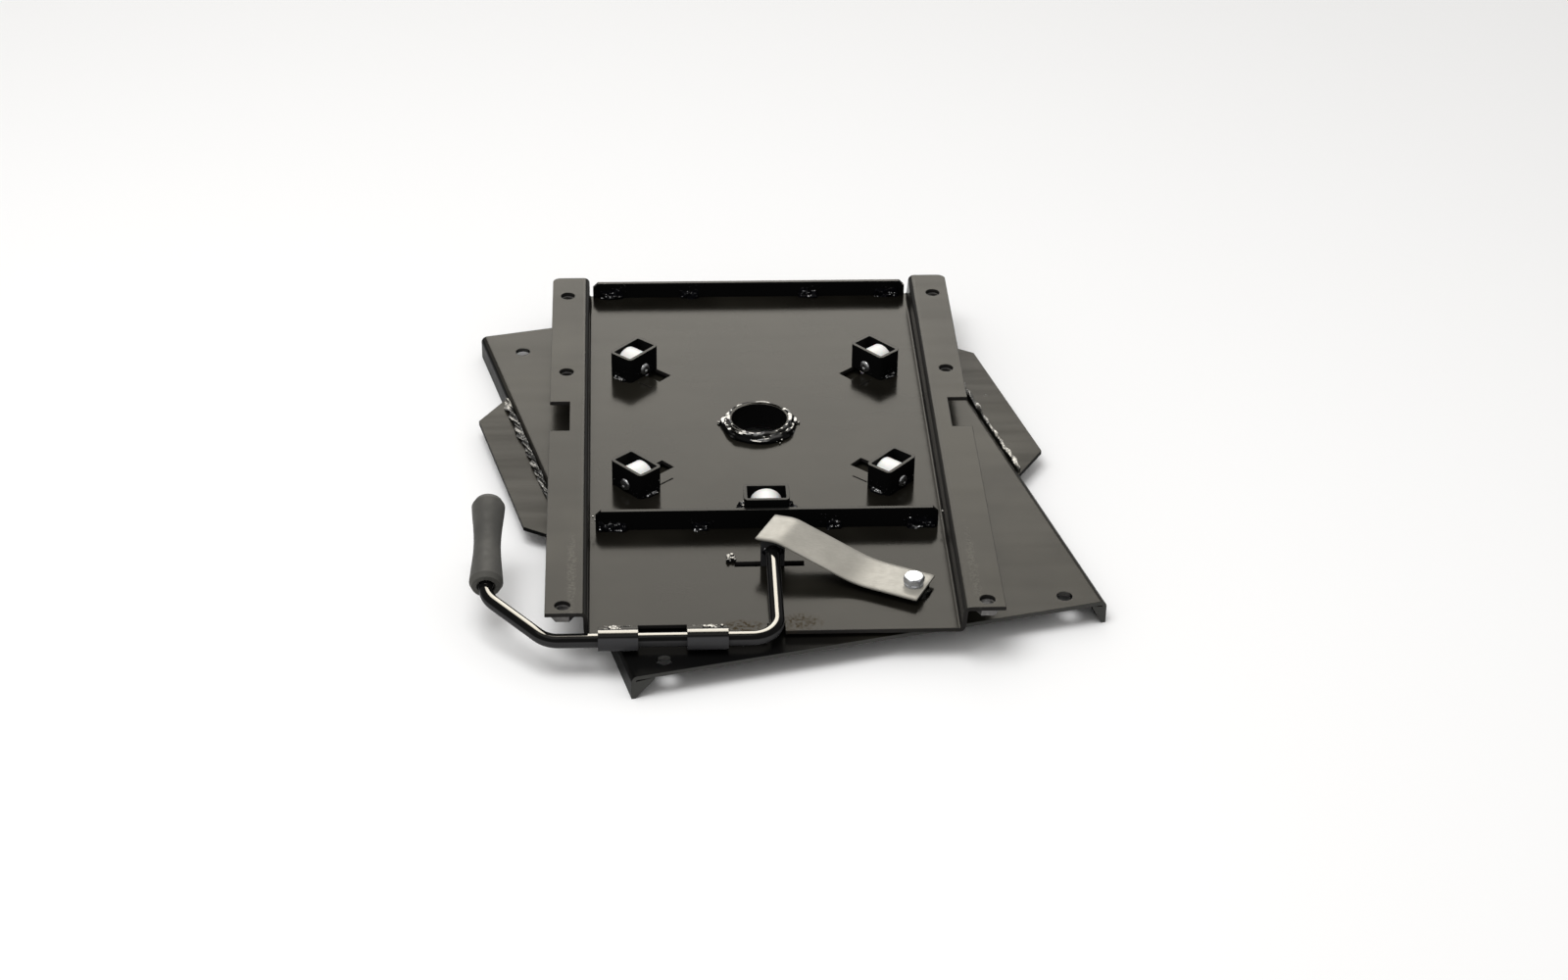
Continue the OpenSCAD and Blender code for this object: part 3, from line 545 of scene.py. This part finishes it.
# The CAD nodes that wear each finish
FINISH_NODES = {
    "paint": ["hub_tube", "hub_ring"],
    "base": ["base_plate"],
    "tray": ["tray"],
    "rail": ["rail_left", "rail_right"],
    "wing": ["wing_left", "wing_right"],
    "bar": ["lever_bar", "latch_blade"],
    "box": ["cross_wall_front", "cross_wall_rear", "spring_boss"] + ["box_" + c for c in CORNERS],
    "clip": ["clip_left", "clip_right"],
    "weld": ["wing_welds", "wall_welds", "hub_weld", "box_welds", "clip_welds", "blade_welds",
             "slot_weld", "boss_weld"],
    "strap": ["spring_strap"],
    "zinc": ["spring_bolt"],
    "axle": ["axle_" + c for c in CORNERS],
    "nut": ["weld_nuts"],
    "nylon": ["roller_" + c for c in CORNERS],
    "rubber": ["lever_grip"],
}


def shade_smooth(obj, angle=32):
    """Smooth shading, apart from edges sharper than an angle in degrees."""
    mesh = obj.data
    mesh.polygons.foreach_set("use_smooth", [True] * len(mesh.polygons))
    mesh.set_sharp_from_angle(angle=math.radians(angle))


for finish, names in FINISH_NODES.items():
    for name in names:
        materials = nodes[name].data.materials
        materials.clear()
        materials.append(MATERIALS[finish])
        shade_smooth(nodes[name])


# Detailed pieces

def piece(name, shape, material, body, replaced, angle=40):
    """A mesh that stands for a CAD node."""
    verts, faces = shape
    mesh = bpy.data.meshes.new(name)
    mesh.from_pydata([tuple(v) for v in verts], [], faces)
    mesh.validate()
    obj = bpy.data.objects.new(name, mesh)
    bpy.context.scene.collection.objects.link(obj)
    mesh.materials.append(MATERIALS[material])
    outward = bmesh.new()
    outward.from_mesh(mesh)
    bmesh.ops.recalc_face_normals(outward, faces=outward.faces)
    outward.to_mesh(mesh)
    outward.free()
    shade_smooth(obj, angle)
    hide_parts(replaced)
    if body:
        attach(obj, body)
    return obj


def joined(parts):
    """Several shapes, each a pair of points and faces, as one."""
    verts, faces = [], []
    for part_verts, part_faces in parts:
        base = len(verts)
        verts += part_verts
        faces += [tuple(i + base for i in f) for f in part_faces]
    return verts, faces


def skin(rings, closed=False):
    """A surface over rings of equal size, closed on itself or with a flat cap at both ends."""
    n, m = len(rings[0]), len(rings)
    faces = []
    for i in range(m if closed else m - 1):
        a, b = i * n, ((i + 1) % m) * n
        for k in range(n):
            j = (k + 1) % n
            faces.append((a + k, a + j, b + j, b + k))
    if not closed:
        faces.append(tuple(range(n - 1, -1, -1)))
        faces.append(tuple((m - 1) * n + k for k in range(n)))
    return [v for loop in rings for v in loop], faces


def ring(centre, u, v, radius, count):
    """Points round a centre in the plane of u and v, where radius is a function of the turn."""
    turns = [2 * math.pi * k / count for k in range(count)]
    return [centre + radius(t) * (u * math.cos(t) + v * math.sin(t)) for t in turns]


def circle(radius):
    """The same radius at every turn."""
    return lambda turn: radius


def end_taper(i, last):
    """Share of the full leg at a point of a bead, which falls off over a few points at each end."""
    inward = min(1, i / BEAD_END_POINTS, (last - i) / BEAD_END_POINTS)
    return BEAD_END_SHARE + (1 - BEAD_END_SHARE) * math.sin(inward * math.pi / 2)


def bead(points, sides, ups, leg, seed, ripple=0.13, lump=0.28, pitch=1.6 * MM, closed=False,
         grain=220, swell=None):
    """A fillet weld along points: sides and ups are the two wall directions of the corner it fills.

    ripple is the height of the even waves and pitch their length, lump is the height of the uneven
    ones and grain how many fit in a metre. Heights are shares of the leg. swell scales the leg at
    each point.
    """
    rings = []
    run = 0.0
    for i, point in enumerate(points):
        if i:
            run += (point - points[i - 1]).length
        size = leg * (1.0 if closed else end_taper(i, len(points) - 1))
        size *= swell[i] if swell else 1.0
        side, up = sides[i], ups[i]
        section = [point - (side + up) * BEAD_ROOT]
        for k in range(BEAD_ARC + 1):
            turn = k / BEAD_ARC * math.pi / 2
            bowed = run / pitch + BEAD_BOW * math.cos(2 * turn)
            wave = ripple / 2 * math.cos(2 * math.pi * bowed)
            where = point * grain + Vector((seed * BEAD_SEED_STEP, k * BEAD_DRIFT, 0))
            fine = BEAD_FINE_SHARE * noise.noise(where * BEAD_FINE)
            rough = lump * (noise.noise(where) + fine)
            r = size * (BEAD_BODY + wave + rough)
            section.append(point + side * (r * math.cos(turn)) + up * (r * math.sin(turn)))
        rings.append(section)
    return skin(rings, closed)


def line_bead(a, b, side, up, leg, seed, **shape):
    """A bead along a straight line."""
    steps = max(6, int((b - a).length / BEAD_STEP))
    points = [a.lerp(b, i / steps) for i in range(steps + 1)]
    return bead(points, [side] * len(points), [up] * len(points), leg, seed, **shape)


def about(origin, *spans):
    """Where drops fall: near an origin, along each direction from low to high millimetres.

    A third number is the place where most of them fall.
    """
    def place(rng):
        point = origin.copy()
        for direction, *limits in spans:
            draw = rng.uniform if len(limits) == 2 else rng.triangular
            point += direction * draw(*limits) * MM
        return point
    return place


def round_drop(centre, r):
    """A small ball of few faces."""
    verts, faces = [], []
    for i in range(1, DROP_ROWS):
        lat = math.pi * i / DROP_ROWS
        for k in range(DROP_COLS):
            lon = 2 * math.pi * k / DROP_COLS
            level = Vector((math.cos(lon), math.sin(lon), 0)) * math.sin(lat)
            verts.append(centre + r * (level + Z * math.cos(lat)))
    top, low = len(verts), len(verts) + 1
    verts += [centre + Z * r, centre - Z * r]
    last = (DROP_ROWS - 2) * DROP_COLS
    for k in range(DROP_COLS):
        j = (k + 1) % DROP_COLS
        faces.append((top, k, j))
        for a in range(0, last, DROP_COLS):
            b = a + DROP_COLS
            faces.append((a + k, b + k, b + j, a + j))
        faces.append((low, last + j, last + k))
    return verts, faces


def drops(rng, count, place, size=DROPS):
    """Weld spatter at places given by a function of a random generator."""
    return joined([round_drop(place(rng), rng.uniform(*size)) for _ in range(count)])


def wall_beads():
    """Stitch beads at the feet of the cross walls, with spatter on the walls above them."""
    rng = random.Random(11)
    parts = []
    for row, (wall, x, length) in enumerate(WALL_ROWS):
        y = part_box(wall)[0].y
        for side in (-1, 1):
            a = Vector(((side * x - length / 2) * MM, y, FLOOR_Z))
            b = a + X * length * MM
            parts.append(line_bead(a, b, -Y, Z * WALL_BEAD_RISE, leg=3.1 * MM, seed=row * 2 + side,
                                   ripple=0.03, lump=0.7, grain=130))
            parts.append(drops(rng, 12, about(a, (X, -4, length + 4), (Z, 1.5, 13, 5))))
    piece("wall_weld_beads", joined(parts), "weld", "top", "wall_welds")


def hub_swell(degrees):
    """Swelling of the hub bead at a turn: slow waves, and lumps at its start and its end."""
    offs = [(degrees - lump + 180) % 360 - 180 for lump in HUB_LUMPS]
    lumps = sum(math.exp(-(off / HUB_LUMP_SPREAD) ** 2) for off in offs)
    waves = math.sin(math.radians(5 * degrees) + 1.0) * math.sin(math.radians(2 * degrees))
    return 1 + 0.26 * lumps + 0.12 * waves


def beside_hub(degrees):
    """Where drops fall on the floor round the hub, near a turn."""
    def place(rng):
        far = HUB_R + rng.uniform(3.5, 7.5) * MM
        turn = math.radians(degrees + rng.uniform(-5, 5))
        return rotated(far, 0, turn) + Z * rng.uniform(0.3, 1.4) * MM
    return place


def hub_bead():
    """Uneven ring of weld over the rim of the hub, drawn out at its start and its end."""
    turns = [360 * i / HUB_STEPS for i in range(HUB_STEPS)]
    out = [axes(t)[0] for t in turns]
    swell = [hub_swell(t) for t in turns]
    up = [Z * HUB_BEAD_RISE / w for w in swell]
    parts = [bead([HUB_BEAD_R * o for o in out], out, up, leg=6.4 * MM, seed=3, ripple=0.0,
                  lump=0.34, closed=True, grain=38, swell=swell)]
    rng = random.Random(5)
    for degrees in HUB_SPATTER:
        parts.append(drops(rng, 4, beside_hub(degrees), HUB_DROPS))
    piece("hub_weld_bead", joined(parts), "hub", "top", "hub_weld")


def box_beads():
    """Beads at the feet of the roller boxes and spatter on their lower walls."""
    rng = random.Random(23)
    parts = []
    for i, degrees in enumerate(CORNER_TURNS):
        out, along = axes(degrees)
        centre = out * ROLLER_RING_R
        leg, reach, rise = MIDDLE_BOX_BEAD if i == MIDDLE_BOX else BOX_BEAD
        for side in (-1, 1):
            mid = centre + along * side * BOX_HALF.y
            parts.append(line_bead(mid - out * reach, mid + out * reach, along * side, Z * rise,
                                   leg=leg, seed=i * 2 + side, lump=0.3, grain=110))
            parts.append(drops(rng, 10, about(mid, (out, -9, 9), (Z, 0.5, 12, 2.5)), FINE_DROPS))
            face = centre + out * side * BOX_HALF.x
            parts.append(drops(rng, 9, about(face, (along, -14, 14), (Z, 0.5, 9, 2)), FINE_DROPS))
    piece("box_weld_beads", joined(parts), "weld", "top", "box_welds")


def clip_beads():
    """Short proud beads behind the two clip tails, with blobs of weld on the tails."""
    rng = random.Random(47)
    parts = []
    for i, name in enumerate(("clip_left", "clip_right")):
        low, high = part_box(name)
        a = Vector((low.x + CLIP_BEAD_IN, high.y, FLOOR_Z))
        b = Vector((high.x - CLIP_BEAD_IN, high.y, FLOOR_Z))
        parts.append(line_bead(a, b, Y, Z, leg=2.3 * MM, seed=40 + i, lump=0.5, ripple=0.25))
        tail = Vector(((low.x + high.x) / 2 + CLIP_BLOB_OFF[i], high.y, 2.2 * MM))
        parts.append(drops(rng, 22, about(tail, (X, -8, 8, 0), (Y, -6.5, -0.5)), CLIP_DROPS))
    piece("clip_weld_beads", joined(parts), "lump", "top", "clip_welds")


def wing_beads():
    """Long rough seams between the wings and the base flanges."""
    parts = []
    for side in (-1, 1):
        a = on_base(side * WING_SEAM_X, -WING_SEAM_HALF, WING_SEAM_Z)
        b = on_base(side * WING_SEAM_X, WING_SEAM_HALF, WING_SEAM_Z)
        out = rotated(side, 0, BASE_TURN)
        parts.append(line_bead(a, b, out, Z, leg=4.2 * MM, seed=60 + side,
                               ripple=0.1, lump=0.6, grain=150))
    piece("wing_weld_seams", joined(parts), "seam", "base", "wing_welds")


def slot_lumps():
    """Bright lumps of weld at the left end of the blade slot."""
    low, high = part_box("slot_weld")
    middle = Vector(((low.x + high.x) / 2, (low.y + high.y) / 2, FLOOR_Z))
    place = about(middle, (X, -2.4, 2.4), (Y, -3.4, 3.4), (Z, 0.3, 2.4))
    lumps = drops(random.Random(31), 26, place, SLOT_DROPS)
    piece("slot_weld_lumps", lumps, "lump", "top", "slot_weld")


def blade_beads():
    """Upright beads on the blade, at both sides of the lever arm."""
    low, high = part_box("blade_welds")
    parts = []
    for side in (-1, 1):
        a = Vector(((low.x + high.x) / 2 + side * BAR_R, high.y, low.z))
        b = a + Z * (high.z - low.z)
        parts.append(line_bead(a, b, X * side, -Y, leg=2.5 * MM, seed=70 + side, lump=0.4))
    piece("blade_weld_beads", joined(parts), "weld", "lever", "blade_welds")


def boss_bead():
    """Beads at the foot of the spring boss, on three of its sides."""
    low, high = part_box("spring_boss")
    middle = Vector(((low.x + high.x) / 2, (low.y + high.y) / 2, FLOOR_Z))
    parts = []
    for i, quarter in enumerate((0, 90, 270)):
        along, across = axes(STRAP_TURN + quarter)
        foot = middle - across * BOSS_HALF
        reach = along * BOSS_BEAD_HALF
        parts.append(line_bead(foot - reach, foot + reach, -across, Z,
                               leg=3.2 * MM, seed=80 + i, lump=0.5))
    piece("boss_weld_bead", joined(parts), "box", "top", "boss_weld")


def rivets():
    """Axles with domed rivet heads that have a dimple in the middle."""
    head = [(BOX_HALF.x + share * RIVET_HEAD_T, r * MM) for r, share in RIVET_HEAD]
    stations = [(-far, r) for far, r in head] + [(-BOX_HALF.x, AXLE_R), (BOX_HALF.x, AXLE_R)]
    stations += head[::-1]
    for corner, degrees in zip(CORNERS, CORNER_TURNS):
        out, along = axes(degrees)
        centre = out * ROLLER_RING_R + Z * AXLE_Z
        rings = [ring(centre + out * far, along, Z, circle(r), RIVET_STEPS) for far, r in stations]
        piece("rivet_" + corner, skin(rings), "axle", "top", "axle_" + corner, angle=50)


def hex_bolt():
    """Hexagon head with a chamfered crown on a washer, over a plain shank."""
    low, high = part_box("spring_bolt")
    centre = Vector(((low.x + high.x) / 2, (low.y + high.y) / 2, 0))
    strap_top = high.z - BOLT_HEAD_H
    washer_top = strap_top + WASHER_H
    top = high.z + WASHER_H
    collar_top = washer_top + 0.25 * MM
    collar_r = BOLT_HALF_AF - 0.3 * MM
    corner_r = BOLT_HALF_AF / math.cos(math.pi / 6)

    def hexagon(limit=corner_r, inset=0.0):
        """Radius of the head's hexagon, with its corners turned down to a limit."""
        def radius(turn):
            off = turn % (math.pi / 3) - math.pi / 6
            return min(BOLT_HALF_AF / math.cos(off) - inset, limit)
        return radius

    levels = [
        (low.z, circle(BOLT_R - BOLT_CHAMFER)),
        (low.z + BOLT_CHAMFER, circle(BOLT_R)),
        (strap_top, circle(BOLT_R)),
        (strap_top, circle(WASHER_R)),
        (washer_top - 0.3 * MM, circle(WASHER_R)),
        (washer_top, circle(WASHER_R - 0.25 * MM)),
        (washer_top, circle(collar_r)),
        (collar_top, circle(collar_r)),
        (collar_top, hexagon(inset=0.15 * MM)),
        (top - 1.5 * MM, hexagon()),
        (top - 1.2 * MM, hexagon(corner_r - 0.18 * MM)),
        (top - 1.0 * MM, hexagon(corner_r - 0.3 * MM)),
        (top - 0.45 * MM, hexagon(BOLT_HALF_AF + 0.25 * MM)),
        (top - 0.08 * MM, circle(BOLT_HALF_AF - 0.35 * MM)),
        (top, circle(BOLT_HALF_AF - 0.9 * MM)),
        (top - 0.12 * MM, circle(BOLT_HALF_AF - 2.2 * MM)),
    ]
    rings = [ring(centre + Z * z, X, Y, radius, BOLT_STEPS) for z, radius in levels]
    piece("bolt_detailed", skin(rings), "zinc", "top", "spring_bolt", angle=30)


def clamped(value, low, high):
    return max(low, min(high, value))


def strap_lift(d):
    """Height of the strap's underside at a distance along it: flat, a soft climb, then its tip."""
    climb = STRAP_L - STRAP_TIP - STRAP_FLAT
    past_crest = d - STRAP_FLAT - climb
    if d <= STRAP_FLAT:
        return 0.0
    if past_crest > 0:
        return STRAP_RISE - STRAP_TIP_DROP * past_crest / STRAP_TIP
    u, e = (d - STRAP_FLAT) / climb, STRAP_EASE
    return STRAP_RISE * (u * u if u < e else e * e + 2 * e * (u - e)) / (2 * e - e * e)


def soft_lift(d):
    """The same height with its kinks smoothed out."""
    near = [clamped(d + share * STRAP_SOFT, 0, STRAP_L) for share in (-1, -0.5, 0, 0.5, 1)]
    return sum(strap_lift(n) for n in near) / len(near)


def strap_section(across_steps=10):
    """Width and height of the points round the strap, with small chamfers on its edges."""
    w, t, e = STRAP_HALF_W, STRAP_T, STRAP_EDGE
    wide = [-w + e + 2 * (w - e) * k / across_steps for k in range(across_steps + 1)]
    under = [(-w, e)] + [(x, 0) for x in wide] + [(w, e)]
    return under + [(-x, t - z) for x, z in under]


def leaf_strap(steps=90):
    """The strap with chamfered edges, curving up from the tray to the lever."""
    along, across = axes(180 + STRAP_TURN)
    section = strap_section()
    rings = []
    for i in range(steps + 1):
        d = STRAP_L * i / steps
        inset = 0.35 * MM if i in (0, steps) else 0.0
        spine = STRAP_START + along * d + Z * soft_lift(d)
        rings.append([spine + across * clamped(w, inset - STRAP_HALF_W, STRAP_HALF_W - inset)
                      + Z * clamped(z, inset, STRAP_T - inset) for w, z in section])
    obj = piece("strap_leaf", skin(rings), "strap", None, "spring_strap", angle=50)
    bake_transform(obj)


wall_beads()
hub_bead()
box_beads()
clip_beads()
wing_beads()
slot_lumps()
blade_beads()
boss_bead()
rivets()
hex_bolt()
leaf_strap()


# Stage, lights and camera

def floor_plane(size=14):
    """A wide white floor under the part."""
    mesh = bpy.data.meshes.new("floor")
    corners = [(-size, -size, 0), (size, -size, 0), (size, size, 0), (-size, size, 0)]
    mesh.from_pydata(corners, [], [(0, 1, 2, 3)])
    obj = bpy.data.objects.new("floor", mesh)
    obj.location.z = GROUND_Z
    bpy.context.scene.collection.objects.link(obj)
    s = Shader("floor_white")
    white = s.mix(s.noise(2), (0.90, 0.90, 0.90), (0.91, 0.91, 0.91))
    s.set(Base_Color=white, Roughness=0.8, Specular_IOR_Level=0.1)
    mesh.materials.append(s.mat)


def world():
    """Soft even light, seen as plain white by the camera and in glossy or clear surfaces."""
    sky = bpy.data.worlds.new("studio")
    bpy.context.scene.world = sky
    sky.use_nodes = True
    tree = sky.node_tree
    tree.nodes.clear()
    add, link = tree.nodes.new, tree.links.new
    rays = add("ShaderNodeLightPath").outputs
    seen = rays["Is Camera Ray"]
    for ray in ("Is Glossy Ray", "Is Transmission Ray"):
        either = add("ShaderNodeMath")
        either.operation = "ADD"
        either.use_clamp = True
        link(seen, either.inputs[0])
        link(rays[ray], either.inputs[1])
        seen = either.outputs[0]
    light = add("ShaderNodeBackground")
    light.inputs["Color"].default_value = (1.0, 0.99, 0.975, 1)
    light.inputs["Strength"].default_value = 0.62
    white = add("ShaderNodeBackground")
    white.inputs["Strength"].default_value = 1.0
    mix = add("ShaderNodeMixShader")
    link(seen, mix.inputs[0])
    link(light.outputs[0], mix.inputs[1])
    link(white.outputs[0], mix.inputs[2])
    link(mix.outputs[0], add("ShaderNodeOutputWorld").inputs["Surface"])


def soft_light(name, place, width, height, watts, colour=(1.0, 1.0, 1.0), lights_matt=True):
    """Soft box aimed at the part, which shows in glossy faces only where lights_matt is off."""
    data = bpy.data.lights.new(name, "AREA")
    data.shape = "RECTANGLE"
    data.size = width
    data.size_y = height
    data.energy = watts
    data.color = colour
    obj = bpy.data.objects.new(name, data)
    obj.location = place
    obj.rotation_euler = (-Vector(place)).to_track_quat("-Z", "Y").to_euler()
    obj.visible_diffuse = lights_matt
    bpy.context.scene.collection.objects.link(obj)


def photo_camera():
    """World to camera: turn about Z, look along +Y, pitch down, then roll."""
    look = Matrix(((1, 0, 0), (0, 0, -1), (0, 1, 0)))
    turn = Matrix.Rotation(-CAM_YAW, 3, "Z")
    pitch = Matrix.Rotation(CAM_PITCH, 3, "X")
    roll = Matrix.Rotation(CAM_ROLL, 3, "Z")
    to_world = (roll @ pitch @ look @ turn).transposed()
    flip = Matrix.Diagonal((1, -1, -1))
    data = bpy.data.cameras.new("camera")
    data.sensor_width = SENSOR_W
    data.lens = FOCAL_PX / PHOTO_W * SENSOR_W
    data.shift_x = -CAM_CENTRE_PX[0] / PHOTO_W
    data.shift_y = CAM_CENTRE_PX[1] / PHOTO_W
    data.clip_end = 50
    obj = bpy.data.objects.new("camera", data)
    obj.matrix_world = Matrix.Translation(-(to_world @ CAM_OFFSET)) @ (to_world @ flip).to_4x4()
    bpy.context.scene.collection.objects.link(obj)
    bpy.context.scene.camera = obj


floor_plane()
world()
soft_light("over_back", place=(-0.10, 2.05, 2.19), width=1.9, height=3.06, watts=165,
           colour=(1.0, 0.955, 0.86), lights_matt=False)
soft_light("top", place=(-0.5, -0.5, 2.2), width=1.4, height=1.4, watts=32)
photo_camera()
bpy.context.scene.view_settings.view_transform = "Standard"
